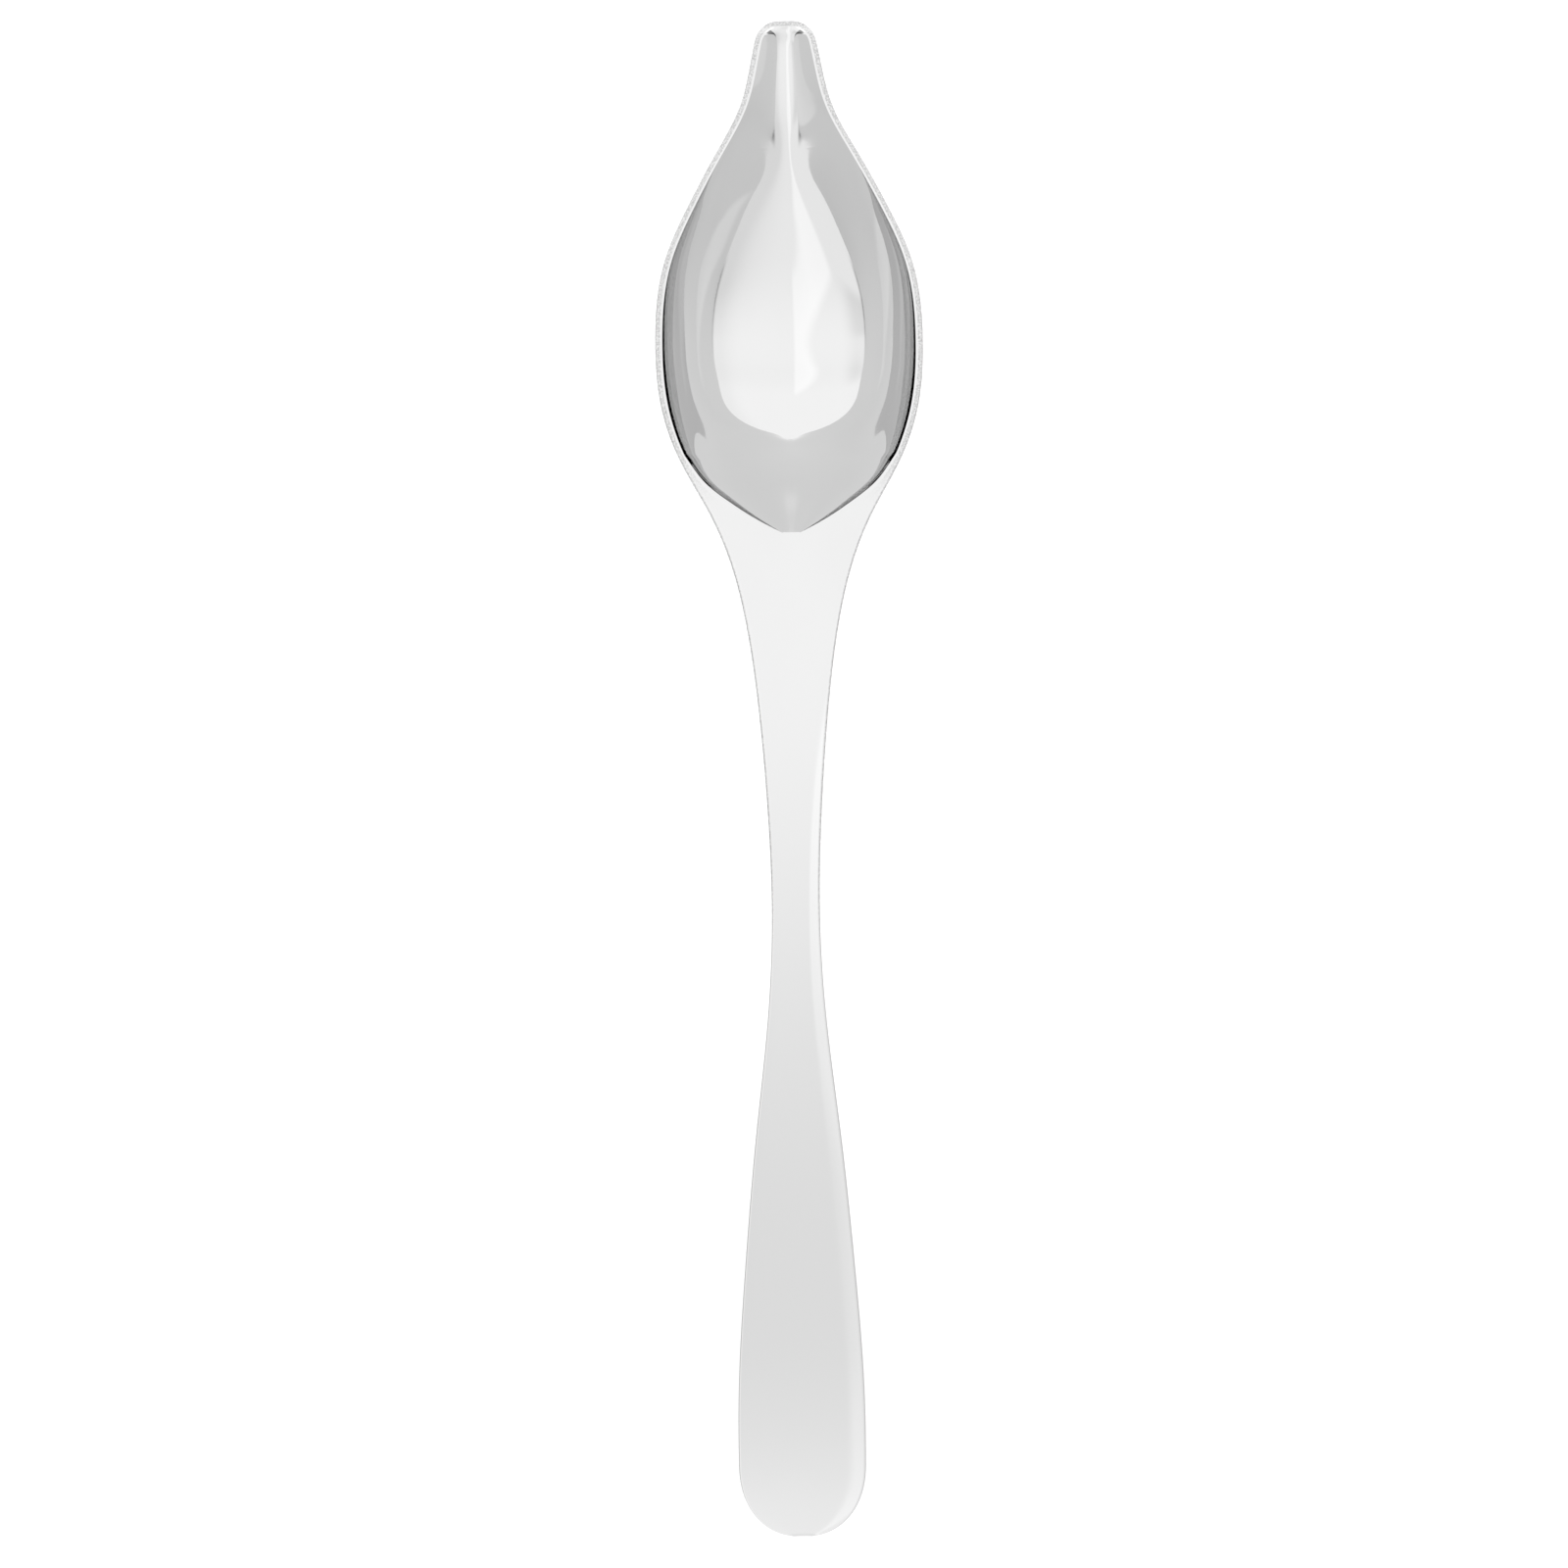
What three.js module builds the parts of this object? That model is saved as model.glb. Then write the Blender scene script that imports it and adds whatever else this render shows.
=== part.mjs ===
// Sauce spoon: a mirror-polished steel spoon with a deep teardrop bowl, a pouring spout at the
// front and a narrow neck that widens into a flat handle. The real spoon is pressed from one
// blank, so the four bodies here are its four regions, meeting on flat cuts square to its length.
//
// Frame, in millimetres: +Y runs to the spout tip, +X to the right, +Z up. The origin lies under
// the middle of the spoon on the surface it stands on. A station is a distance from the spout tip.
import * as THREE from 'three';
import { LoftGeometry } from 'three/addons/geometries/LoftGeometry.js';
import { mergeGeometries, mergeVertices } from 'three/addons/utils/BufferGeometryUtils.js';

// overall length, spout tip to handle end
const LENGTH = 205;

// stations of the three cuts between the regions
const SPOUT_END = 17;
const BOWL_END = 74;
const NECK_END = 120;

// half width of the outline at a station, before the two rounded ends are taken off
const OUTLINE = [
  [0, 3.6], [6, 4.8], [12, 6.4], [18, 9.6], [25, 13.4], [32, 16.5], [43, 18], [52, 17.3],
  [60, 14.5], [66, 11.2], [72, 8.6], [80, 6.5], [92, 4.8], [106, 3.7], [120, 3.3],
  [134, 4], [150, 5.8], [168, 7.5], [186, 8.65], [205, 8.5],
];
const TIP_ROUND = { length: 3.7, squareness: 3, blunt: 0.8 };
const END_ROUND = { length: 9.8, squareness: 2.25, blunt: 1 };

// height of the upper face above the table: rim of the bowl, back of the neck, top of the handle
const UPPER_LINE = [
  [0, 12.2], [0.85, 12.35], [1.6, 13.2], [2.6, 13.85], [4, 14.08], [8, 14.12], [20, 14.35],
  [42, 15.07], [58, 16.05], [74, 17.15], [90, 17.8], [106, 17.25], [126, 14.8], [146, 11.15],
  [164, 7.5], [178, 4.85], [189, 3], [198, 2.03], [205, 1.9],
];

// depth of the hollow under the rim, along the middle of the bowl
const HOLLOW_START = 0.85;
const HOLLOW_END = 69.2;
const HOLLOW_DEPTH = [
  [HOLLOW_START, 0], [2, 1.62], [4, 2.68], [7, 3.15], [14, 4.68], [18, 6.4], [22, 8.18], [26, 9.7],
  [31, 11.46], [36, 12.9], [41, 13.7], [46, 14.25], [51, 14.7], [56, 12.35], [62, 6.9],
  [66, 3.18], [HOLLOW_END, 0],
];
// half width of the hollow where its back edge draws in from the rim to a blunt point
const HOLLOW_BACK = [
  [54, 17.2], [60, 13.2], [62.6, 11.1], [65, 8], [67.4, 4.3], [HOLLOW_END, 0.9],
];
const HOLLOW_FRONT = { length: 2.6, squareness: 3, blunt: 1.4 };
// the upper face in front of the hollow is divided over this much of its half width
const LIP_SHARE = 0.7;

// the wall is this much of a half ellipse, so that it meets the rim at a slope
const WALL_SHARE = 0.97;
// fullness of the bowl's section: 0.5 is an ellipse, and less has a flatter floor
const BOWL_FULLNESS = [
  [0, 0.47], [18, 0.45], [31, 0.42], [44, 0.34], [58, 0.385], [HOLLOW_END, 0.385],
];
// the vee of the spout: half width of its rounded bottom as a share of the hollow's, and how much
// of the section is vee rather than bowl
const VEE_ROUNDING = [
  [0, 0.73], [7, 0.73], [14, 0.17], [22, 0.15], [30, 0.3], [HOLLOW_END, 0.3],
];
const VEE_SHARE = [
  [0, 1], [8, 1], [14, 0.84], [20, 0.63], [26, 0.36], [33, 0.13], [42, 0], [HOLLOW_END, 0],
];

// how the bulge under the bowl meets the sheet: small stays full out to the rim, large fades early
const BULGE_FADE = [
  [0, 0.47], [18, 0.45], [31, 0.42], [44, 0.355], [54, 0.38], [60, 0.51], [65, 0.9], [70, 1.6],
];
const BULGE_FULL_FROM = 3;
const BULGE_ROUND_FROM = 44;
const BULGE_BLEND = 0.8;
const BULGE_END = 80;
// places tried each way along the spoon when the underside is held clear of the hollow
const CLEARANCE_SAMPLES = 8;

// the sheet
const RIM_LAND = 1;
const FLOOR_THICKNESS = 1.1;
const RIM_THICKNESS = 0.65;
const HANDLE_THICKNESS = 2;
const THICKENS_FROM = 50;
const THICKENS_TO = 84;

// edge rounding, and how far the sides of the handle turn up
const RIM_ROUND = 0.45;
const RIM_UNDER_ROUND = 0.1;
const HANDLE_ROUND = 0.35;
const END_TAPER = 0.5;
const THINNEST_EDGE = 0.3;
// most of the sheet's thickness that the rounding above and below an edge may take
const TOP_ROUND_SHARE = 0.5;
const UNDER_ROUND_SHARE = 0.3;
// the face of the neck is divided up to this many edge radii in from its side
const NECK_INSET = 1.5;
const HANDLE_DISH = 0.2;
const DISH_FROM = 70;
const DISH_TO = 130;
const DISH_POWER = 4;

// facets across the bowl and across the handle, on each face
const BOWL_STEPS = 22;
const HANDLE_STEPS = 10;

// sections along each region: close together at the lip, the back of the hollow and the handle's end
const LIP_STATIONS = [0, 0.12, 0.3, 0.55, HOLLOW_START, 1.05, 1.3, 1.7, 2.3, 3];
const SPOUT_SECTIONS = 11;
const HOLLOW_SECTIONS = 38;
const HOLLOW_CROWDING = 1.35;
const BEHIND_SECTIONS = 5;
const NECK_SECTIONS = 18;
const BLADE_SECTIONS = 24;
const END_SECTIONS = 14;
const END_CROWDING = 3;

const STEEL = { color: 0xc9cbcc, roughness: 0.08, metalness: 1 };

/** A smooth curve through the given [station, value] points: a natural cubic spline. */
function curveThrough(points) {
  const last = points.length - 1;
  const gap = (i) => points[i + 1][0] - points[i][0];
  const rise = (i) => (points[i + 1][1] - points[i][1]) / gap(i);
  // second derivatives by elimination down the tridiagonal system, then back up it
  const upper = [0];
  const right = [0];
  for (let i = 1; i < last; i += 1) {
    const pivot = 2 * (gap(i - 1) + gap(i)) - gap(i - 1) * upper[i - 1];
    upper.push(gap(i) / pivot);
    right.push((6 * (rise(i) - rise(i - 1)) - gap(i - 1) * right[i - 1]) / pivot);
  }
  const bend = new Array(last + 1).fill(0);
  for (let i = last - 1; i > 0; i -= 1) {
    bend[i] = right[i] - upper[i] * bend[i + 1];
  }
  return (station) => {
    const s = THREE.MathUtils.clamp(station, points[0][0], points[last][0]);
    let i = 0;
    while (i < last - 1 && s > points[i + 1][0]) {
      i += 1;
    }
    const h = gap(i);
    const a = (points[i + 1][0] - s) / h;
    const b = 1 - a;
    const straight = a * points[i][1] + b * points[i + 1][1];
    return straight + ((a ** 3 - a) * bend[i] + (b ** 3 - b) * bend[i + 1]) * (h * h) / 6;
  };
}

/** 1 well inside a rounded end and 0 at its very tip, along a superellipse. */
function roundedEnd(distance, round) {
  const q = THREE.MathUtils.clamp(1 - distance / round.length, 0, 1);
  return (1 - q ** round.squareness) ** (1 / round.squareness);
}

/** How far an edge rounded to a radius has dropped, at a distance in from that edge. */
function edgeDrop(distance, radius) {
  const q = Math.max(radius - distance, 0);
  return radius - Math.sqrt(radius * radius - q * q);
}

const outline = curveThrough(OUTLINE);
const upperLine = curveThrough(UPPER_LINE);
const hollowDepth = curveThrough(HOLLOW_DEPTH);
const hollowBack = curveThrough(HOLLOW_BACK);
const bowlFullness = curveThrough(BOWL_FULLNESS);
const veeRounding = curveThrough(VEE_ROUNDING);
const veeShare = curveThrough(VEE_SHARE);
const bulgeFade = curveThrough(BULGE_FADE);

/** Half the width of the spoon's outline at a station. */
function halfWidth(station) {
  const tip = roundedEnd(station, TIP_ROUND);
  const end = roundedEnd(LENGTH - station, END_ROUND);
  const blunt = station < LENGTH / 2 ? TIP_ROUND.blunt : END_ROUND.blunt;
  return Math.max(outline(station) * tip * end, blunt);
}

/** Half the width over which the upper face is divided, which is the hollow's own in the bowl. */
function hollowHalfWidth(station) {
  const half = halfWidth(station);
  if (station <= HOLLOW_START) {
    return Math.min(HOLLOW_FRONT.blunt, LIP_SHARE * half);
  }
  if (station < HOLLOW_END) {
    const rim = half - RIM_LAND;
    const front = roundedEnd(station - HOLLOW_START, HOLLOW_FRONT);
    return Math.min(Math.max(rim * front, HOLLOW_FRONT.blunt), hollowBack(station));
  }
  // behind the hollow the same points spread back out over the flat of the neck
  const spread = THREE.MathUtils.smoothstep(station, HOLLOW_END, BOWL_END);
  return THREE.MathUtils.lerp(hollowBack(HOLLOW_END), half - NECK_INSET * HANDLE_ROUND, spread);
}

/** Depth of the hollow at a station, and none outside it. */
function hollowAt(station) {
  return station > HOLLOW_START && station < HOLLOW_END ? hollowDepth(station) : 0;
}

/** How far the underside hangs below the flat sheet: a sheet's thickness clear of the hollow. */
function bulgeAt(station, sheet) {
  let deepest = 0;
  for (let i = -CLEARANCE_SAMPLES; i <= CLEARANCE_SAMPLES; i += 1) {
    const along = FLOOR_THICKNESS * i / CLEARANCE_SAMPLES;
    const clear = Math.sqrt(FLOOR_THICKNESS ** 2 - along ** 2);
    deepest = Math.max(deepest, hollowAt(station + along) + clear);
  }
  const hang = deepest - sheet;
  const eased = (hang + Math.hypot(hang, BULGE_BLEND)) / 2;
  const front = THREE.MathUtils.smoothstep(station, 0, BULGE_FULL_FROM);
  return eased * front * (1 - THREE.MathUtils.smoothstep(station, HOLLOW_END, BULGE_END));
}

/** Depth of a hollow's section across its width, 1 in the middle and 0 at either side. */
function sectionDepth(across, fullness, vee, rounding) {
  const atRim = (1 - WALL_SHARE ** 2) ** fullness;
  const bowl = ((1 - (WALL_SHARE * across) ** 2) ** fullness - atRim) / (1 - atRim);
  const flank = Math.hypot(across, rounding) - rounding;
  const straight = 1 - flank / (Math.hypot(1, rounding) - rounding);
  return THREE.MathUtils.lerp(bowl, straight, vee);
}

/** Every size of the cross-section at one station. */
function sectionAt(station) {
  const thicken = THREE.MathUtils.smoothstep(station, THICKENS_FROM, THICKENS_TO);
  const nearest = Math.min(station, LENGTH - station);
  const drop = edgeDrop(nearest, END_TAPER);
  const sheet = THREE.MathUtils.lerp(RIM_THICKNESS, HANDLE_THICKNESS, thicken);
  const thickness = Math.max(sheet - drop, THINNEST_EDGE);
  const round = THREE.MathUtils.lerp(RIM_ROUND, HANDLE_ROUND, thicken);
  const under = THREE.MathUtils.lerp(RIM_UNDER_ROUND, HANDLE_ROUND, thicken);
  const vee = THREE.MathUtils.clamp(veeShare(station), 0, 1);
  return {
    y: LENGTH / 2 - station,
    half: halfWidth(station),
    top: upperLine(station) - drop,
    thickness,
    hollow: hollowAt(station),
    hollowHalf: hollowHalfWidth(station),
    fullness: bowlFullness(station),
    vee,
    veeRounding: veeRounding(station),
    bulge: bulgeAt(station, sheet),
    bulgeFade: bulgeFade(station),
    bulgeVee: station < BULGE_ROUND_FROM ? vee : 0,
    round: Math.min(round, TOP_ROUND_SHARE * thickness),
    under: Math.min(under, UNDER_ROUND_SHARE * thickness),
    dish: HANDLE_DISH * THREE.MathUtils.smoothstep(station, DISH_FROM, DISH_TO),
  };
}

/** The closed ring of one cross-section, upper face left to right and then back underneath. */
function ringAt(station, steps) {
  const s = sectionAt(station);
  const diagonal = 1 - Math.SQRT1_2;
  const dished = (x) => s.top + s.dish * Math.abs(x / s.half) ** DISH_POWER;
  const base = s.top - s.thickness;
  const side = dished(s.half);

  const upper = [];
  for (let i = 0; i <= steps; i += 1) {
    const across = -Math.cos(Math.PI * i / steps);
    const x = s.hollowHalf * across;
    const depth = s.hollow * sectionDepth(across, s.fullness, s.vee, s.veeRounding);
    upper.push([x, dished(x) - depth]);
  }
  const edge = [
    [s.half - s.round, dished(s.half - s.round)],
    [s.half - diagonal * s.round, side - diagonal * s.round],
    [s.half, side - s.round],
    [s.half, base + s.under],
    [s.half - diagonal * s.under, base + diagonal * s.under],
  ];
  const lower = [];
  for (let i = 0; i <= steps; i += 1) {
    const across = Math.cos(Math.PI * i / steps);
    const hang = s.bulge * sectionDepth(across, s.bulgeFade, s.bulgeVee, s.veeRounding);
    lower.push([(s.half - s.under) * across, Math.max(base - hang, 0)]);
  }
  const grounded = edge.map(([x, z]) => [x, Math.max(z, 0)]);
  const mirrored = grounded.map(([x, z]) => [-x, z]).reverse();
  return [...upper, ...grounded, ...lower, ...mirrored].map(([x, z]) => new THREE.Vector3(x, s.y, z));
}

/** Stations from one place to the next, evenly spaced or, with a power over 1, crowding to the last. */
function stationsBetween(from, to, count, crowding = 1) {
  const list = [];
  for (let i = 0; i <= count; i += 1) {
    const even = i / count;
    const crowded = 1 - (1 - even) ** crowding;
    list.push(THREE.MathUtils.lerp(from, to, THREE.MathUtils.lerp(even, crowded, even)));
  }
  return list;
}

/** The flat face that closes a ring: a fan at each side edge and a strip between the two faces. */
function cutFace(ring, steps, towardsTip) {
  const side = (ring.length - 2 * (steps + 1)) / 2;
  const lowerStart = steps + 1 + side;
  const corners = [];
  for (let i = 0; i < side; i += 1) {
    corners.push([steps, steps + 1 + i, steps + 2 + i]);
    corners.push([0, lowerStart + steps + i, lowerStart + steps + 1 + i]);
  }
  for (let i = 0; i < steps; i += 1) {
    const under = lowerStart + steps - i;
    corners.push([i, i + 1, under]);
    corners.push([i + 1, under - 1, under]);
  }
  const face = new THREE.BufferGeometry().setFromPoints(ring);
  face.setIndex(corners.flatMap(([a, b, c]) => (towardsTip ? [a, b, c] : [a, c, b])));
  return face;
}

/** One region of the spoon, lofted through its stations and closed by a flat cut at each end. */
function region(name, stations, steps) {
  const rings = stations.map((station) => ringAt(station, steps));
  const skin = new LoftGeometry([...rings].reverse());
  skin.deleteAttribute('normal');
  skin.deleteAttribute('uv');
  const front = cutFace(rings[0], steps, true);
  const back = cutFace(rings[rings.length - 1], steps, false);
  const geometry = mergeVertices(mergeGeometries([skin, front, back]));
  geometry.computeVertexNormals();
  const mesh = new THREE.Mesh(geometry, new THREE.MeshStandardMaterial(STEEL));
  mesh.name = name;
  return mesh;
}

function pourSpout() {
  const lipEnd = LIP_STATIONS[LIP_STATIONS.length - 1];
  const channel = stationsBetween(lipEnd, SPOUT_END, SPOUT_SECTIONS).slice(1);
  return region('pour_spout', [...LIP_STATIONS, ...channel], BOWL_STEPS);
}

function bowl() {
  const hollow = stationsBetween(SPOUT_END, HOLLOW_END, HOLLOW_SECTIONS, HOLLOW_CROWDING);
  const behind = stationsBetween(HOLLOW_END, BOWL_END, BEHIND_SECTIONS).slice(1);
  return region('bowl', [...hollow, ...behind], BOWL_STEPS);
}

function neck() {
  return region('neck', stationsBetween(BOWL_END, NECK_END, NECK_SECTIONS), HANDLE_STEPS);
}

function handle() {
  const endStart = LENGTH - END_ROUND.length;
  const blade = stationsBetween(NECK_END, endStart, BLADE_SECTIONS);
  const end = stationsBetween(endStart, LENGTH, END_SECTIONS, END_CROWDING).slice(1);
  return region('handle', [...blade, ...end], HANDLE_STEPS);
}

const spoon = new THREE.Group();
spoon.name = 'sauce_spoon';
spoon.add(pourSpout(), bowl(), neck(), handle());

export default spoon;
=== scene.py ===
"""A mirror-polished sauce spoon: teardrop bowl, pouring spout, slim neck and flat handle.

The four regions of the spoon are skinned from one form, ring by ring, so that they meet without a
seam. The form's own sizes are in millimetres and by station, which is the distance back from the tip
of the spout. Finished meshes are in metres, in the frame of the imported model.
"""

import logging
import math
from dataclasses import dataclass, field
from enum import Enum

import bmesh
import bpy
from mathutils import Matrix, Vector


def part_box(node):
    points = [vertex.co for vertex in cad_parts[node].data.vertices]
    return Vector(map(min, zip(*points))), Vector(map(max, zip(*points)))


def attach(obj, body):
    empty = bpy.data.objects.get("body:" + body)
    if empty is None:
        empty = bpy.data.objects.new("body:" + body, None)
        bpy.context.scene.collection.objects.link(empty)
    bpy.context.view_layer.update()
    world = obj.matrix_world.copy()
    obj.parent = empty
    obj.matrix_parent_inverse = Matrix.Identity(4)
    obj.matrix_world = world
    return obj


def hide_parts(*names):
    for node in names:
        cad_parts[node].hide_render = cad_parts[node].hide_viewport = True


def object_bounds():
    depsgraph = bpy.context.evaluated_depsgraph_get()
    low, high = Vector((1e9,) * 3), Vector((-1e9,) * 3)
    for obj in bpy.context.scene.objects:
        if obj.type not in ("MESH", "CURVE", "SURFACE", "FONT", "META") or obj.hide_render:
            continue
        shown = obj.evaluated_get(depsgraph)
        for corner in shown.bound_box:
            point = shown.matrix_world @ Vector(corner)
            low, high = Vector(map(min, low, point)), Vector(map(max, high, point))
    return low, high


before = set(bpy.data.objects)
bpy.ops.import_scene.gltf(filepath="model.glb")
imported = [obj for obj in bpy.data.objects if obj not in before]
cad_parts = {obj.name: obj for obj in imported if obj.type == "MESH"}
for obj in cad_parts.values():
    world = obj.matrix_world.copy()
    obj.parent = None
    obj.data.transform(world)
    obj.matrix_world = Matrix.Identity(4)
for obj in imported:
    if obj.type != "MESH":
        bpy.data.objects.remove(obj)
CAD_LOW, CAD_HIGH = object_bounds()

LOG = logging.getLogger("spoon")
MM = 0.001
EDGE_LAYER = "edge"
BODY = "root"
WALL_SHARE = 0.97


# ---------------------------------------------------------------- form


class FairCurve:
    """A natural cubic spline: the smoothest curve through a few (station, value) points."""

    def __init__(self, *points: tuple[float, float]) -> None:
        """Works out the bend of the curve at each point.

        Args:
            points: stations, in rising order, each with the curve's value there.
        """
        self.stations = [station for station, _ in points]
        self.values = [value for _, value in points]
        last = len(points) - 1
        gaps = [self.stations[i + 1] - self.stations[i] for i in range(last)]
        rises = [(self.values[i + 1] - self.values[i]) / gaps[i] for i in range(last)]
        upper, right = [0.0], [0.0]
        for i in range(1, last):
            pivot = 2 * (gaps[i - 1] + gaps[i]) - gaps[i - 1] * upper[i - 1]
            upper.append(gaps[i] / pivot)
            right.append((6 * (rises[i] - rises[i - 1]) - gaps[i - 1] * right[i - 1]) / pivot)
        self.bends = [0.0] * (last + 1)
        for i in range(last - 1, 0, -1):
            self.bends[i] = right[i] - upper[i] * self.bends[i + 1]

    def at(self, station: float) -> float:
        """Reads the curve.

        Args:
            station: distance from the spout tip, held inside the curve's own span.

        Returns:
            The curve's value at that station.
        """
        station = min(max(station, self.stations[0]), self.stations[-1])
        i = 0
        while i < len(self.stations) - 2 and station > self.stations[i + 1]:
            i += 1
        gap = self.stations[i + 1] - self.stations[i]
        a = (self.stations[i + 1] - station) / gap
        b = 1 - a
        straight = a * self.values[i] + b * self.values[i + 1]
        bend = (a**3 - a) * self.bends[i] + (b**3 - b) * self.bends[i + 1]
        return straight + bend * gap * gap / 6


@dataclass(frozen=True)
class RoundedEnd:
    """The plan of a rounded end: a superellipse of a length, down to a blunt half width."""

    length: float
    squareness: float
    blunt: float

    def share(self, distance: float) -> float:
        """The part of the full width that is left at a distance in from the end."""
        q = min(max(1 - distance / self.length, 0.0), 1.0)
        return (1 - q**self.squareness) ** (1 / self.squareness)


def smooth_step(value: float, start: float, end: float) -> float:
    """0 before start, 1 after end, and an easy rise between them."""
    q = min(max((value - start) / (end - start), 0.0), 1.0)
    return q * q * (3 - 2 * q)


def lerp(start: float, end: float, share: float) -> float:
    """The value a share of the way from start to end."""
    return start + (end - start) * share


def edge_drop(distance: float, radius: float) -> float:
    """How far a rounded edge has dropped at a distance in from it."""
    q = max(radius - distance, 0.0)
    return radius - math.sqrt(radius * radius - q * q)


@dataclass(frozen=True)
class Section:
    """Every size of the cross-section at one station, in millimetres."""

    half: float
    top: float
    thickness: float
    hollow: float
    hollow_half: float
    fullness: float
    vee: float
    vee_rounding: float
    bulge: float
    bulge_fade: float
    bulge_vee: float
    rounding: float
    under_rounding: float
    dish: float


@dataclass(frozen=True)
class SpoonForm:
    """The shape of the whole spoon, by station."""

    length: float
    widest_half: float
    tip: RoundedEnd = RoundedEnd(3.7, 3, 0.8)
    end: RoundedEnd = RoundedEnd(9.8, 2.25, 1)
    outline: FairCurve = FairCurve(
        (0, 3.6), (6, 4.8), (12, 6.4), (18, 9.6), (25, 13.4), (32, 16.5), (43, 18), (52, 17.3),
        (60, 14.5), (66, 11.2), (72, 8.6), (80, 6.5), (92, 4.8), (106, 3.7), (120, 3.3),
        (134, 4), (150, 5.8), (168, 7.5), (186, 8.65), (205, 8.5),
    )
    upper_line: FairCurve = FairCurve(
        (0, 12.2), (0.85, 12.35), (1.6, 13.2), (2.6, 13.85), (4, 14.08), (8, 14.12), (20, 14.35),
        (42, 15.07), (58, 16.05), (74, 17.15), (90, 17.8), (106, 17.25), (126, 14.8), (146, 11.15),
        (164, 7.5), (178, 4.85), (189, 3), (198, 2.03), (205, 1.9),
    )
    hollow_start: float = 0.85
    hollow_end: float = 69.2
    hollow_depth: FairCurve = FairCurve(
        (0.85, 0), (2, 1.62), (4, 2.68), (7, 3.15), (14, 4.68), (18, 6.4), (22, 8.18), (26, 9.7),
        (31, 11.46), (36, 12.9), (41, 13.7), (46, 14.25), (51, 14.7), (56, 12.35), (62, 6.9),
        (66, 3.18), (69.2, 0),
    )
    hollow_back: FairCurve = FairCurve(
        (54, 17.2), (60, 13.2), (62.6, 11.1), (65, 8), (67.4, 4.3), (69.2, 0.9)
    )
    hollow_front: RoundedEnd = RoundedEnd(2.6, 3, 1.4)
    bowl_fullness: FairCurve = FairCurve(
        (0, 0.47), (18, 0.45), (31, 0.42), (44, 0.34), (58, 0.385), (69.2, 0.385)
    )
    vee_rounding: FairCurve = FairCurve(
        (0, 0.73), (7, 0.73), (14, 0.17), (22, 0.15), (30, 0.3), (69.2, 0.3)
    )
    vee_share: FairCurve = FairCurve(
        (0, 1), (8, 1), (14, 0.84), (20, 0.63), (26, 0.36), (33, 0.13), (42, 0), (69.2, 0)
    )
    bulge_fade: FairCurve = FairCurve(
        (0, 0.47), (18, 0.45), (31, 0.42), (44, 0.355), (54, 0.38), (60, 0.51), (65, 0.9), (70, 1.6)
    )
    bulge_round_from: float = 44
    bulge_blend: float = 0.8
    bulge_end: float = 80
    neck_start: float = 74
    rim_land: float = 1
    floor_thickness: float = 1.1
    rim_thickness: float = 0.65
    handle_thickness: float = 2
    thickens: tuple[float, float] = (50, 84)
    rim_round: float = 0.45
    rim_under_round: float = 0.1
    handle_round: float = 0.35
    end_taper: float = 0.5
    thinnest_edge: float = 0.3
    handle_dish: float = 0.2
    dishes: tuple[float, float] = (70, 130)
    dish_power: float = 4
    lip_share: float = 0.7
    neck_inset: float = 1.5
    clearance_samples: int = 8
    bulge_starts: tuple[float, float] = (0, 3)
    top_round_share: float = 0.5
    under_round_share: float = 0.3

    def half_width(self, station: float) -> float:
        """Half the width of the outline at a station.

        Args:
            station: distance from the spout tip.

        Returns:
            The outline's half width, rounded off towards both ends of the spoon.
        """
        tip_share = self.tip.share(station)
        end_share = self.end.share(self.length - station)
        blunt = self.tip.blunt if station < self.length / 2 else self.end.blunt
        return min(max(self.outline.at(station) * tip_share * end_share, blunt), self.widest_half)

    def hollow_half_width(self, station: float) -> float:
        """Half the width over which the upper face is divided.

        Args:
            station: distance from the spout tip.

        Returns:
            The hollow's own half width in the bowl, eased out to the sides behind it.
        """
        half = self.half_width(station)
        if station <= self.hollow_start:
            return min(self.hollow_front.blunt, self.lip_share * half)
        if station < self.hollow_end:
            front = self.hollow_front.share(station - self.hollow_start)
            rim = max((half - self.rim_land) * front, self.hollow_front.blunt)
            return min(rim, self.hollow_back.at(station))
        spread = smooth_step(station, self.hollow_end, self.neck_start)
        inset = self.neck_inset * self.handle_round
        return lerp(self.hollow_back.at(self.hollow_end), half - inset, spread)

    def hollow_at(self, station: float) -> float:
        """Depth of the hollow under the rim at a station, and none outside it."""
        inside = self.hollow_start < station < self.hollow_end
        return self.hollow_depth.at(station) if inside else 0.0

    def bulge_at(self, station: float, sheet: float) -> float:
        """How far the underside hangs below the flat sheet, a sheet's thickness clear of the hollow.

        Args:
            station: distance from the spout tip.
            sheet: thickness of the flat sheet there.

        Returns:
            The hang of the underside, eased into the flat sheet behind the bowl.
        """
        samples = self.clearance_samples
        deepest = 0.0
        for i in range(-samples, samples + 1):
            along = self.floor_thickness * i / samples
            clear = math.sqrt(self.floor_thickness**2 - along**2)
            deepest = max(deepest, self.hollow_at(station + along) + clear)
        hang = deepest - sheet
        eased = (hang + math.hypot(hang, self.bulge_blend)) / 2
        front = smooth_step(station, *self.bulge_starts)
        return eased * front * (1 - smooth_step(station, self.hollow_end, self.bulge_end))

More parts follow.
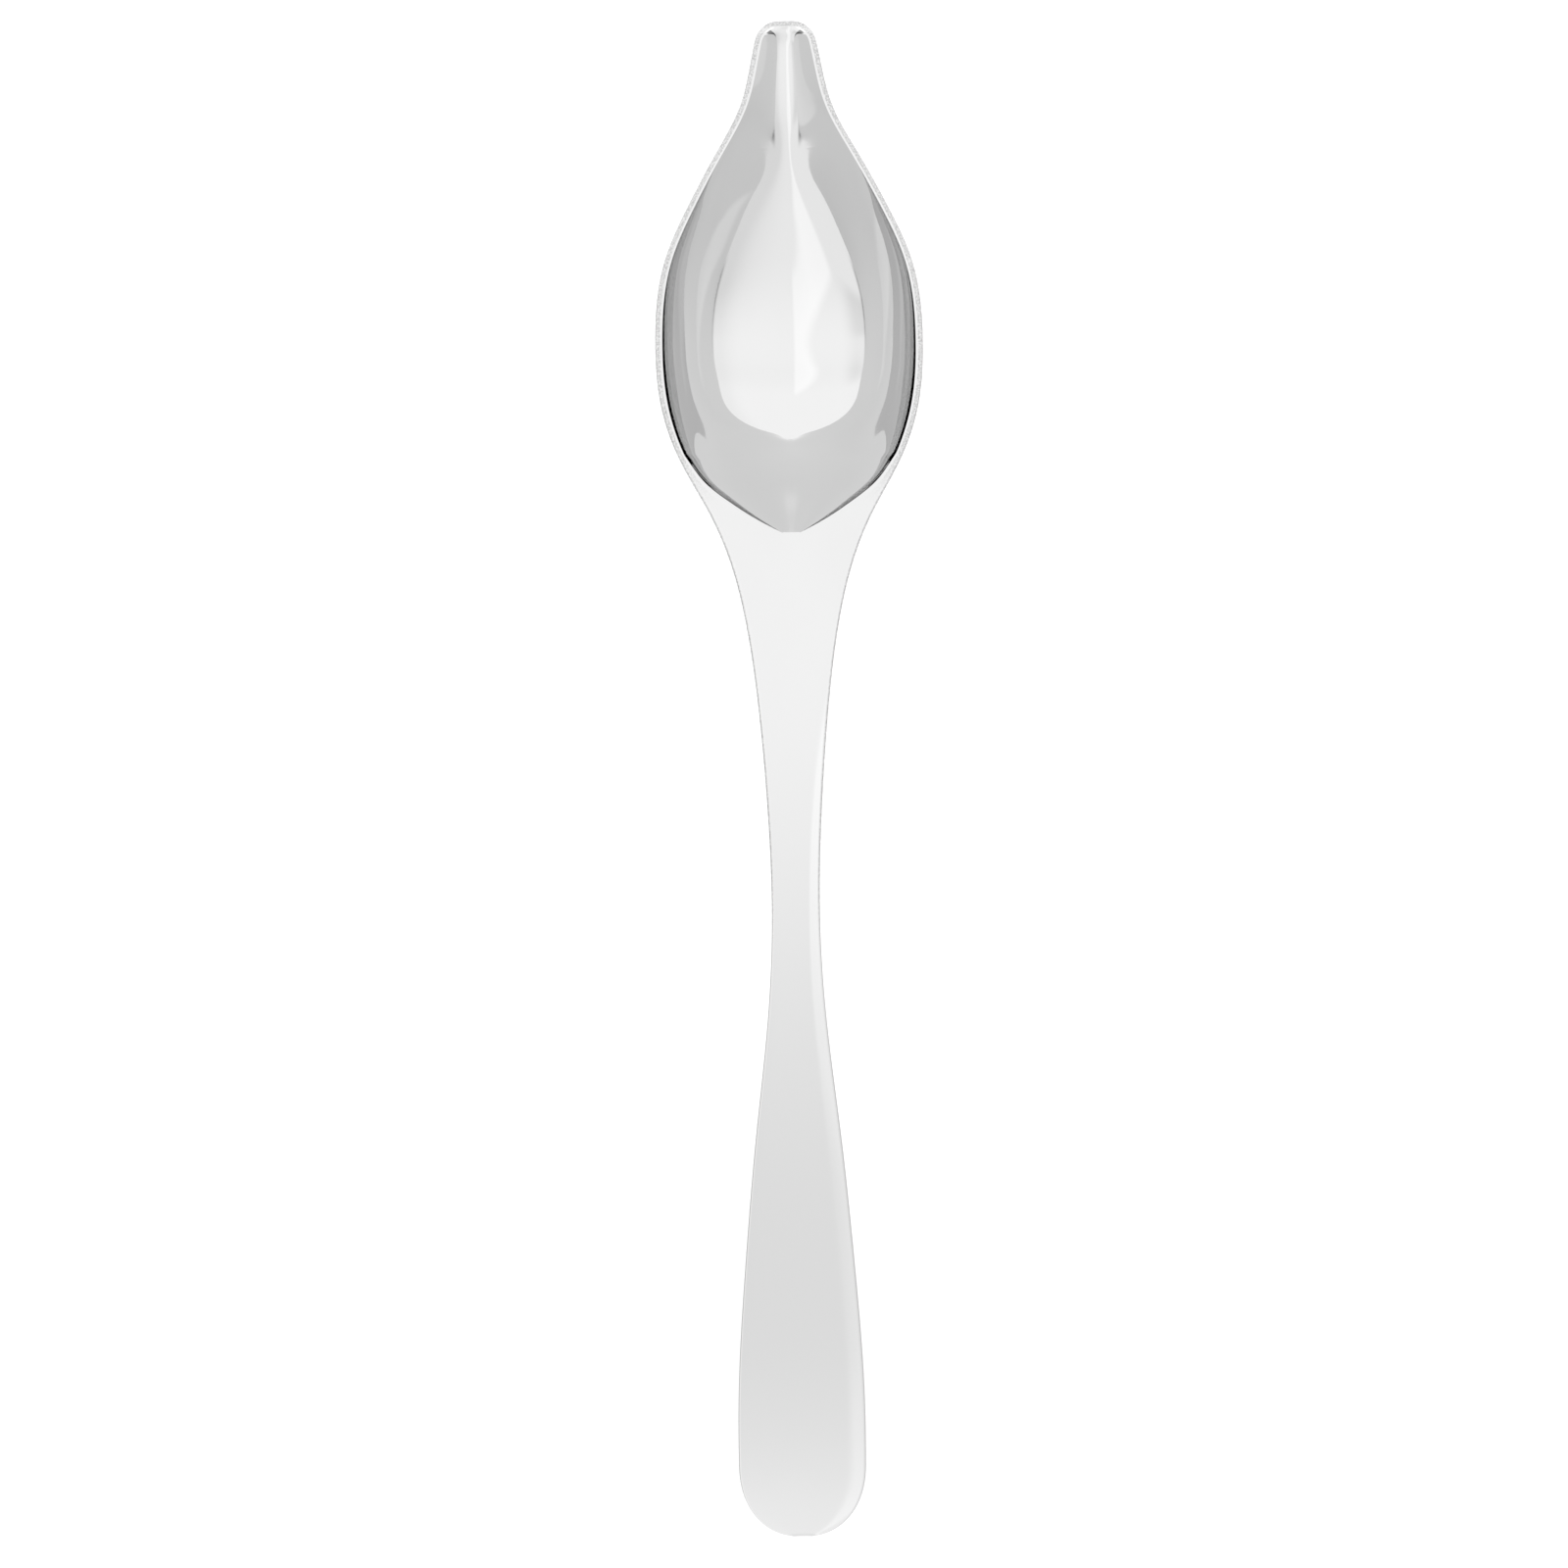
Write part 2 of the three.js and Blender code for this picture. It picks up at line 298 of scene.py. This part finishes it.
    @staticmethod
    def section_depth(across: float, fullness: float, vee: float, rounding: float) -> float:
        """Depth of a hollow across its width: 1 in the middle and 0 at either side.

        Args:
            across: place across the width, from -1 to 1.
            fullness: 0.5 is an ellipse, less has a flatter floor, and more has softer shoulders.
            vee: share of a vee with a rounded bottom.
            rounding: half width of that bottom, as a share of the hollow's.

        Returns:
            The depth there, as a share of the depth in the middle.
        """
        at_rim = (1 - WALL_SHARE**2) ** fullness
        bowl = ((1 - (WALL_SHARE * across) ** 2) ** fullness - at_rim) / (1 - at_rim)
        flank = math.hypot(across, rounding) - rounding
        straight = 1 - flank / (math.hypot(1, rounding) - rounding)
        return lerp(bowl, straight, vee)

    def section(self, station: float) -> Section:
        """Works out the cross-section at a station.

        Args:
            station: distance from the spout tip.

        Returns:
            Every size of the cross-section there.
        """
        thicken = smooth_step(station, *self.thickens)
        drop = edge_drop(min(station, self.length - station), self.end_taper)
        sheet = lerp(self.rim_thickness, self.handle_thickness, thicken)
        thickness = max(sheet - drop, self.thinnest_edge)
        rounding = lerp(self.rim_round, self.handle_round, thicken)
        under = lerp(self.rim_under_round, self.handle_round, thicken)
        vee = min(max(self.vee_share.at(station), 0.0), 1.0)
        return Section(
            half=self.half_width(station),
            top=self.upper_line.at(station) - drop,
            thickness=thickness,
            hollow=self.hollow_at(station),
            hollow_half=self.hollow_half_width(station),
            fullness=self.bowl_fullness.at(station),
            vee=vee,
            vee_rounding=self.vee_rounding.at(station),
            bulge=self.bulge_at(station, sheet),
            bulge_fade=self.bulge_fade.at(station),
            bulge_vee=vee if station < self.bulge_round_from else 0.0,
            rounding=min(rounding, self.top_round_share * thickness),
            under_rounding=min(under, self.under_round_share * thickness),
            dish=self.handle_dish * smooth_step(station, *self.dishes),
        )


@dataclass(frozen=True)
class RingPlan:
    """How finely a cross-section is divided."""

    face_steps: int = 88
    round_steps: int = 5
    land_shares: tuple[float, ...] = (0.35, 0.5, 1)

    @property
    def count(self) -> int:
        """Number of points round the section."""
        return 2 * (self.face_steps + 1) + 2 * self.edge_count

    @property
    def edge_count(self) -> int:
        """Number of points on one side edge, between the two faces."""
        return len(self.land_shares) + 2 * self.round_steps

    def points(self, form: SpoonForm, station: float) -> list[Vector]:
        """The closed ring of points of one cross-section, in metres.

        Args:
            form: the spoon's shape.
            station: distance from the spout tip, in millimetres.

        Returns:
            Points along the upper face from left to right, then back underneath.
        """
        s = form.section(station)
        base = s.top - s.thickness

        def dished(x: float) -> float:
            """Height of the upper face beside the hollow."""
            return s.top + s.dish * abs(x / s.half) ** form.dish_power

        upper = []
        for i in range(self.face_steps + 1):
            across = -math.cos(math.pi * i / self.face_steps)
            x = s.hollow_half * across
            depth = s.hollow * form.section_depth(across, s.fullness, s.vee, s.vee_rounding)
            upper.append((x, dished(x) - depth))

        edge = []
        for share in self.land_shares:
            x = lerp(s.hollow_half, s.half - s.rounding, share)
            edge.append((x, dished(x)))
        for i in range(1, self.round_steps + 1):
            angle = math.pi / 2 * i / self.round_steps
            x = s.half - s.rounding * (1 - math.sin(angle))
            edge.append((x, dished(s.half - s.rounding) - s.rounding * (1 - math.cos(angle))))
        for i in range(self.round_steps + 1):
            angle = math.pi / 2 * i / self.round_steps
            x = s.half - s.under_rounding * (1 - math.cos(angle))
            edge.append((x, base + s.under_rounding * (1 - math.sin(angle))))
        edge.pop()

        lower = []
        for i in range(self.face_steps + 1):
            across = math.cos(math.pi * i / self.face_steps)
            hang = s.bulge * form.section_depth(across, s.bulge_fade, s.bulge_vee, s.vee_rounding)
            lower.append(((s.half - s.under_rounding) * across, max(base - hang, 0.0)))

        edge = [(x, max(z, 0.0)) for x, z in edge]
        mirrored = [(-x, z) for x, z in reversed(edge)]
        y = form.length / 2 - station
        return [Vector((x, y, z)) * MM for x, z in (*upper, *edge, *lower, *mirrored)]

    def ground_and_shade_marks(self, front: float, land: float, edge: float) -> list[float]:
        """How far each point of the ring is ground rather than polished, and so also painted darker as
        painted shade: 1 is ground and 0 polished.

        Args:
            front: value across the upper face, which is ground only in front of the hollow.
            land: value on the land beside the hollow.
            edge: value round the side edges.

        Returns:
            A value for each point of the ring.
        """
        upper = [front] * (self.face_steps + 1)
        lower = [0.0] * (self.face_steps + 1)
        lands = [front] + [land] * (len(self.land_shares) - 1)
        side = [*lands, *[edge] * (2 * self.round_steps)]
        return [*upper, *side, *lower, *reversed(side)]


# ---------------------------------------------------------------- shader helpers


class Socket:
    """A shader value that takes part in Python sums: each sum adds the Math node that works it out."""

    def __init__(self, graph: "Graph", link: bpy.types.NodeSocket) -> None:
        """Wraps one output socket of a node in a graph."""
        self.graph = graph
        self.link = link

    def _math(self, operation: str, *values: "Socket | float") -> "Socket":
        """Adds a Math node for an operation on values."""
        return self.graph.node("ShaderNodeMath", {"operation": operation}, dict(enumerate(values)))

    def __add__(self, other: "Socket | float") -> "Socket":
        """The sum of two values."""
        return self._math("ADD", self, other)

    def __sub__(self, other: "Socket | float") -> "Socket":
        """The first value less the second."""
        return self._math("SUBTRACT", self, other)

    def __mul__(self, other: "Socket | float") -> "Socket":
        """The product of two values."""
        return self._math("MULTIPLY", self, other)

    def __truediv__(self, other: "Socket | float") -> "Socket":
        """The first value divided by the second."""
        return self._math("DIVIDE", self, other)

    def __rsub__(self, other: float) -> "Socket":
        """A number less this value."""
        return self._math("SUBTRACT", other, self)

    __radd__ = __add__
    __rmul__ = __mul__

    def at_least(self, limit: float) -> "Socket":
        """The value, or a limit where it is lower."""
        return self._math("MAXIMUM", self, limit)

    def root(self) -> "Socket":
        """The square root of the value."""
        return self._math("SQRT", self)

    def between(self, start: float, end: float, soft: float) -> "Socket":
        """1 where the value lies between two limits, fading over a soft width outside each.

        Args:
            start: lower limit.
            end: upper limit.
            soft: width of the fade.

        Returns:
            The mask.
        """
        rise = self.ramp(start - soft, start)
        return rise * (1 - self.ramp(end, end + soft))

    def ramp(self, start: float, end: float, low: float = 0.0, high: float = 1.0) -> "Socket":
        """Eases from low to high as the value goes from start to end."""
        settings = {"interpolation_type": "SMOOTHSTEP"}
        values = {0: self, 1: start, 2: end, 3: low, 4: high}
        return self.graph.node("ShaderNodeMapRange", settings, values)


Colour = Socket | tuple[float, float, float, float]


class Graph:
    """A node tree with one method that adds a node."""

    def __init__(self, tree: bpy.types.NodeTree) -> None:
        """Starts from an emptied tree."""
        self.tree = tree
        tree.nodes.clear()

    def node(
        self,
        kind: str,
        settings: dict[str, object] | None = None,
        values: dict[int | str, object] | None = None,
        output: int | str = 0,
    ) -> Socket:
        """Adds a node.

        Args:
            kind: the node's type.
            settings: properties that are set before its sockets.
            values: numbers, colours or sockets for its inputs, by index or name.
            output: which of its outputs to hand back.

        Returns:
            That output.
        """
        made = self.tree.nodes.new(kind)
        for name, setting in (settings or {}).items():
            setattr(made, name, setting)
        for key, value in (values or {}).items():
            if isinstance(value, Socket):
                self.tree.links.new(value.link, made.inputs[key])
            else:
                made.inputs[key].default_value = value
        return Socket(self, made.outputs[output] if made.outputs else None)

    def split(self, vector: Socket) -> tuple[Socket, Socket, Socket]:
        """The three parts of a vector."""
        made = self.tree.nodes.new("ShaderNodeSeparateXYZ")
        self.tree.links.new(vector.link, made.inputs[0])
        x, y, z = (Socket(self, output) for output in made.outputs)
        return x, y, z

    def mix(self, share: Socket, first: Colour, second: Colour) -> Socket:
        """A colour between two, by share."""
        settings = {"data_type": "RGBA"}
        return self.node("ShaderNodeMix", settings, {0: share, 6: first, 7: second}, 2)


# ---------------------------------------------------------------- finish


@dataclass(frozen=True)
class Noise:
    """A noise with its waves per metre along each axis, and its number of finer layers."""

    scale: tuple[float, float, float]
    detail: float


@dataclass(frozen=True)
class PolishedSteel:
    """Mirror-polished stainless steel with fine buffing lines and ground side edges, which are rougher
    and also painted darker as painted shade.

    The steel is painted a little darker along the handle, as painted shade. Lengths along the spoon
    are in metres.
    """

    name: str = "mirror_polished_steel"
    bright: tuple[float, float, float, float] = (0.70, 0.70, 0.70, 1)
    dull: tuple[float, float, float, float] = (0.67, 0.67, 0.67, 1)
    # painted shade: a darker tint for the handle that stands in for the shade of its reflections
    handle_painted_shade: tuple[float, float, float, float] = (0.60, 0.60, 0.60, 1)
    # painted shade: the darker tint of the ground edges stands in for the grey shade of the rounded
    # edges and rim lands
    ground_shade_light: tuple[float, float, float, float] = (0.66, 0.66, 0.66, 1)
    ground_shade_dark: tuple[float, float, float, float] = (0.46, 0.46, 0.46, 1)
    painted_shade_rise: tuple[float, float] = (-0.072, 0.012)
    painted_shade_fall: tuple[float, float] = (-0.118, -0.072)
    painted_shade_at_end: float = 0.1
    polished_roughness: float = 0.03
    smear_roughness: float = 0.03
    edge_roughness: float = 0.24
    edge_smoothest: float = 0.7
    buff_depth: float = 0.00000025
    wave_depth: float = 0.000004
    grain_depth: float = 0.000012
    smears: Noise = Noise((90, 40, 90), 3)
    buffing: Noise = Noise((9000, 160, 9000), 2)
    waves: Noise = Noise((150, 110, 150), 1)
    grain: Noise = Noise((5200, 5200, 5200), 3)
    smear_rough_span: tuple[float, float] = (0.35, 0.75)
    smear_tint_span: tuple[float, float] = (0.3, 0.8)
    smear_tint: float = 0.5
    grain_rough_span: tuple[float, float] = (0.3, 0.7)
    grain_tint_span: tuple[float, float] = (0.35, 0.65)

    def material(self) -> bpy.types.Material:
        """Builds the finish as a node material.

        Returns:
            The material.
        """
        made = bpy.data.materials.new(self.name)
        made.use_nodes = True
        graph = Graph(made.node_tree)
        place = graph.node("ShaderNodeTexCoord", output="Object")
        edge = graph.node("ShaderNodeAttribute", {"attribute_name": EDGE_LAYER}, output="Fac")
        _, along, _ = graph.split(place)

        smears = self._noise(graph, place, self.smears)
        buffing = self._noise(graph, place, self.buffing)
        waves = self._noise(graph, place, self.waves)
        grain = self._noise(graph, place, self.grain)

        roughest = self.polished_roughness + self.smear_roughness
        smoothest_edge = self.edge_roughness * self.edge_smoothest
        smooth = smears.ramp(*self.smear_rough_span, self.polished_roughness, roughest)
        rough = grain.ramp(*self.grain_rough_span, smoothest_edge, self.edge_roughness)
        roughness = smooth * (1 - edge) + edge * rough
        # painted shade: the handle is tinted darker from the neck back, easing off again at its end
        painted_shade_rise_mask = 1 - along.ramp(*self.painted_shade_rise)
        painted_shade_mask = painted_shade_rise_mask * along.ramp(*self.painted_shade_fall, self.painted_shade_at_end, 1.0)
        smeared = smears.ramp(*self.smear_tint_span) * self.smear_tint
        polished = graph.mix(smeared, self.bright, self.dull)
        polished = graph.mix(painted_shade_mask, polished, self.handle_painted_shade)
        # ground edges: a rougher finish, plus a darker tint that is painted shade
        ground = graph.mix(grain.ramp(*self.grain_tint_span), self.ground_shade_dark, self.ground_shade_light)
        tint = graph.mix(edge, polished, ground)
        height = (
            buffing * self.buff_depth * (1 - edge)
            + waves * self.wave_depth * (1 - edge)
            + grain * self.grain_depth * edge
        )
        bump = graph.node(
            "ShaderNodeBump", {}, {"Strength": 1.0, "Distance": 1.0, "Height": height}
        )
        shader = graph.node(
            "ShaderNodeBsdfPrincipled",
            {},
            {"Base Color": tint, "Metallic": 1.0, "Roughness": roughness, "Normal": bump},
        )
        graph.node("ShaderNodeOutputMaterial", {}, {"Surface": shader})
        return made

    @staticmethod
    def _noise(graph: Graph, place: Socket, noise: Noise) -> Socket:
        """Adds a noise to the tree.

        Args:
            graph: the tree.
            place: the point that the noise is read at.
            noise: its scale and detail.

        Returns:
            Its value.
        """
        settings = {"vector_type": "POINT"}
        spot = graph.node("ShaderNodeMapping", settings, {"Vector": place, "Scale": noise.scale})
        values = {"Vector": spot, "Scale": 1.0, "Detail": noise.detail}
        return graph.node("ShaderNodeTexNoise", {}, values)


# ---------------------------------------------------------------- spoon


class RegionName(Enum):
    """The four regions of the spoon, by their node names."""

    SPOUT = "pour_spout"
    BOWL = "bowl"
    NECK = "neck"
    HANDLE = "handle"


@dataclass
class Spoon:
    """The spoon: its form, and the stations at which rings are laid along it."""

    form: SpoonForm
    finish: PolishedSteel = PolishedSteel()
    plan: RingPlan = RingPlan()
    spacing: dict[RegionName, float] = field(
        default_factory=lambda: {
            RegionName.SPOUT: 0.3,
            RegionName.BOWL: 0.4,
            RegionName.NECK: 0.8,
            RegionName.HANDLE: 0.8,
        }
    )
    end_spacing: float = 0.06
    end_growth: float = 0.12
    # stations where the ground finish, with its painted shade, gives way to polish
    front_polished: tuple[float, float] = (0.7, 0.9)
    land_polished: tuple[float, float] = (56, 66)
    edge_polished: tuple[float, float] = (112, 128)

    def region_span(self, region: RegionName) -> tuple[float, float]:
        """First and last station of a region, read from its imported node."""
        low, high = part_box(region.value)
        return self.station_of(high[1]), self.station_of(low[1])

    def station_of(self, y: float) -> float:
        """The station at a place along the spoon, in millimetres to a hundredth."""
        return round(self.form.length / 2 - y / MM, 2)

    def stations(self, region: RegionName) -> list[float]:
        """Lays out a region's rings.

        Args:
            region: which region.

        Returns:
            Their stations, close together round both ends of the spoon.
        """
        start, end = self.region_span(region)
        laid = [start]
        while laid[-1] < end:
            here = laid[-1]
            to_end = min(here, self.form.length - here)
            step = min(self.spacing[region], self.end_spacing + self.end_growth * to_end)
            laid.append(here + step)
        laid[-1] = end
        for special in (self.form.hollow_start, self.form.hollow_end):
            if start < special < end:
                nearest = min(range(len(laid)), key=lambda i: abs(laid[i] - special))
                laid[nearest] = special
        return laid

    def build(self) -> list[bpy.types.Object]:
        """Skins every region and dresses it.

        Returns:
            The finished pieces.
        """
        material = self.finish.material()
        spans = {region: self.stations(region) for region in RegionName}
        every = sorted({station for stations in spans.values() for station in stations})
        rings = {station: self.plan.points(self.form, station) for station in every}
        normals = self._ring_normals(every, rings)
        pieces = []
        for region, stations in spans.items():
            piece = self._skin(region, stations, rings, normals)
            piece.data.materials.append(material)
            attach(piece, BODY)
            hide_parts(region.value)
            pieces.append(piece)
        return pieces

    def _ring_normals(
        self, stations: list[float], rings: dict[float, list[Vector]]
    ) -> dict[float, list[Vector]]:
        """Normals of the whole form, shared by regions where they meet.

        Args:
            stations: every station of the spoon, in order.
            rings: the ring of points at each.

        Returns:
            The outward normal at each point of each ring.
        """
        count = self.plan.count
        normals = {}
        for k, station in enumerate(stations):
            before = rings[stations[max(k - 1, 0)]]
            after = rings[stations[min(k + 1, len(stations) - 1)]]
            ring = rings[station]
            normals[station] = [
                (after[j] - before[j]).cross(ring[(j + 1) % count] - ring[j - 1]).normalized()
                for j in range(count)
            ]
        return normals

    def _skin(
        self,
        region: RegionName,
        stations: list[float],
        rings: dict[float, list[Vector]],
        normals: dict[float, list[Vector]],
    ) -> bpy.types.Object:
        """Draws a ring out along a region, reshaping it at each station, and closes both cuts.

        Args:
            region: which region.
            stations: its stations.
            rings: the ring of points at each station.
            normals: the normals at each station.

        Returns:
            The finished piece, with its place in its mesh.
        """
        bm = bmesh.new()
        mark = bm.verts.layers.float.new(EDGE_LAYER)
        first = bmesh.ops.create_circle(bm, cap_ends=False, segments=self.plan.count, radius=MM)
        ring = first["verts"]
        facing: dict[bmesh.types.BMVert, Vector] = {}
        for k, station in enumerate(stations):
            if k > 0:
                drawn = bmesh.ops.extrude_edge_only(bm, edges=edges)
                made = [item for item in drawn["geom"] if isinstance(item, bmesh.types.BMVert)]
                ring = self._in_order(ring, made)
            marks = self.plan.ground_and_shade_marks(
                front=1 - smooth_step(station, *self.front_polished),
                land=1 - smooth_step(station, *self.land_polished),
                edge=1 - smooth_step(station, *self.edge_polished),
            )
            for vert, place, value, normal in zip(ring, rings[station], marks, normals[station]):
                vert.co = place
                vert[mark] = value
                facing[vert] = normal
            edges = self._loop_edges(ring)
            if k in (0, len(stations) - 1):
                bmesh.ops.contextual_create(bm, geom=edges)
        bmesh.ops.recalc_face_normals(bm, faces=bm.faces)
        for face in bm.faces:
            face.smooth = True
        ordered = [tuple(facing[vert]) for vert in bm.verts]
        mesh = bpy.data.meshes.new(region.value)
        bm.to_mesh(mesh)
        bm.free()
        mesh.normals_split_custom_set_from_vertices(ordered)
        piece = bpy.data.objects.new(f"{region.value}_polished", mesh)
        bpy.context.scene.collection.objects.link(piece)
        return piece

    @staticmethod
    def _in_order(
        ring: list[bmesh.types.BMVert], made: list[bmesh.types.BMVert]
    ) -> list[bmesh.types.BMVert]:
        """Sorts newly drawn points.

        Args:
            ring: the ring that they were drawn from.
            made: the points, in any order.

        Returns:
            The points, in the order of the ring.
        """
        fresh = set(made)
        ordered = []
        for vert in ring:
            for edge in vert.link_edges:
                other = edge.other_vert(vert)
                if other in fresh:
                    ordered.append(other)
                    break
        return ordered

    @staticmethod
    def _loop_edges(ring: list[bmesh.types.BMVert]) -> list[bmesh.types.BMEdge]:
        """Finds the edges that join a ring's points.

        Args:
            ring: the points, in order.

        Returns:
            The edges, in the same order.
        """
        found = []
        for i, vert in enumerate(ring):
            following = ring[(i + 1) % len(ring)]
            found.append(next(e for e in vert.link_edges if e.other_vert(vert) is following))
        return found


# ---------------------------------------------------------------- studio


@dataclass(frozen=True)
class Tent:
    """The pale tent round the table: an even soft light with a few darker panels and a glow.

    Its tone depends on two slopes of each direction, which are how far it leads to the right and
    forward for each unit that it rises. A span is the pair of slopes between which a panel fades.
    """

    soft_light: float = 1.27
    lowest_rise: float = 0.02
    behind_span: tuple[float, float] = (-0.9, 0.2)
    behind_dark: float = 0.14
    right_span: tuple[float, float] = (0.8, 1.8)
    right_dark: float = 0.07
    corner_span: tuple[float, float] = (0.0, 2.0)
    corner_dark: float = 0.1
    left_span: tuple[float, float] = (-1.7, -0.9)
    left_reach: tuple[float, float, float] = (-0.5, -0.2, 0.35)
    left_dark: float = 0.2
    streak_slant: float = 0.9
    streak_reach: tuple[float, float, float] = (-0.3, 0.1, 0.2)
    streak_left: tuple[float, float] = (-1.1, -0.9)
    crisp_span: tuple[float, float] = (-0.1, -0.05)
    crisp_glow: float = 0.12
    soft_span: tuple[float, float] = (-0.5, -0.1)
    soft_glow: float = 0.05
    gap_span: tuple[float, float] = (5.2, 7.2)
    gap_reach: tuple[float, float, float] = (-1.2, 1.0, 0.5)
    gap_dark: float = 0.85
    horizon_fade: tuple[float, float] = (5.0, 12.0)

    def tone(self, graph: Graph) -> Socket:
        """Works out the tent's tone.

        Args:
            graph: the world's node tree.

        Returns:
            The strength of the light from each direction.
        """
        towards = graph.node("ShaderNodeTexCoord", output="Generated")
        x, y, z = graph.split(towards)
        up = z.at_least(self.lowest_rise)
        right = x / up
        forward = y / up

        behind = 1 - forward.ramp(*self.behind_span)
        corner = right.ramp(*self.corner_span) * behind * self.corner_dark
        right_side = right.ramp(*self.right_span) * self.right_dark + corner
        leftwards = 1 - right.ramp(*self.left_span)
        left_panel = leftwards * forward.between(*self.left_reach) * self.left_dark
        streak = (forward - right * self.streak_slant).between(*self.streak_reach)
        crisp = (1 - right.ramp(*self.crisp_span)) * self.crisp_glow
        soft = (1 - right.ramp(*self.soft_span)) * self.soft_glow
        glow = streak * right.ramp(*self.streak_left) * (crisp + soft)
        low_sides = (right * right).ramp(*self.gap_span)
        gap = low_sides * forward.between(*self.gap_reach) * self.gap_dark
        reach = (right * right + forward * forward).root()
        change = glow - behind * self.behind_dark - right_side - left_panel - gap
        return change * (1 - reach.ramp(*self.horizon_fade)) + self.soft_light


@dataclass(frozen=True)
class Studio:
    """A pale table under a large overhead soft light, and a long lens straight above it."""

    middle: Vector
    tent: Tent = Tent()
    table_radius: float = 4.0
    table_segments: int = 96
    table_roughness: float = 0.9
    table_colour: tuple[float, float, float, float] = (0.8, 0.8, 0.8, 1)
    table_glow: float = 0.5
    lens: float = 180.0
    sensor: float = 36.0
    frame_height: float = 0.2113
    focus_height: float = 0.010
    turn: float = math.radians(-0.695)
    shift_right: float = 0.00139
    shift_up: float = 0.0002
    clip: tuple[float, float] = (0.05, 20.0)

    def build(self) -> None:
        """Sets the table, the light and the camera."""
        self._table()
        self._light()
        self._camera()
        bpy.context.scene.view_settings.view_transform = "Standard"

    def _table(self) -> None:
        """Lays a pale matt table top at the height that the spoon stands on."""
        bm = bmesh.new()
        bmesh.ops.create_circle(
            bm, cap_ends=True, segments=self.table_segments, radius=self.table_radius
        )
        mesh = bpy.data.meshes.new("table")
        bm.to_mesh(mesh)
        bm.free()
        table = bpy.data.objects.new("table", mesh)
        bpy.context.scene.collection.objects.link(table)
        material = bpy.data.materials.new("pale_table")
        material.use_nodes = True
        graph = Graph(material.node_tree)
        shader = graph.node(
            "ShaderNodeBsdfPrincipled",
            {},
            {
                "Base Color": self.table_colour,
                "Roughness": self.table_roughness,
                "Specular IOR Level": 0.0,
                "Emission Color": (1, 1, 1, 1),
                "Emission Strength": self.table_glow,
            },
        )
        graph.node("ShaderNodeOutputMaterial", {}, {"Surface": shader})
        mesh.materials.append(material)

    def _light(self) -> None:
        """Surrounds the table with the tent."""
        world = bpy.data.worlds.new("tent")
        bpy.context.scene.world = world
        world.use_nodes = True
        graph = Graph(world.node_tree)
        values = {"Color": (1, 1, 1, 1), "Strength": self.tent.tone(graph)}
        seen = graph.node("ShaderNodeBackground", {}, values)
        graph.node("ShaderNodeOutputWorld", {}, {"Surface": seen})

    def _camera(self) -> None:
        """Hangs a long-lensed camera straight above the spoon, turned a touch off square."""
        data = bpy.data.cameras.new("overhead_camera")
        data.lens = self.lens
        data.sensor_width = self.sensor
        height = self.frame_height / 2 * self.lens / (self.sensor / 2)
        camera = bpy.data.objects.new("overhead_camera", data)
        place = self.middle + Vector((-self.shift_right, -self.shift_up, 0))
        camera.location = (place.x, place.y, self.focus_height + height)
        camera.rotation_euler = (0, 0, self.turn)
        data.clip_start, data.clip_end = (height * share for share in self.clip)
        bpy.context.scene.collection.objects.link(camera)
        bpy.context.scene.camera = camera


def main() -> None:
    """Builds the spoon and then the studio round it."""
    logging.basicConfig(level=logging.INFO, format="%(message)s")
    length = round((CAD_HIGH[1] - CAD_LOW[1]) / MM, 3)
    form = SpoonForm(length=length, widest_half=CAD_HIGH[0] / MM)
    for piece in Spoon(form).build():
        LOG.info("%s: %d faces", piece.name, len(piece.data.polygons))
    Studio(middle=(CAD_LOW + CAD_HIGH) / 2).build()


if __name__ == "__main__":
    main()
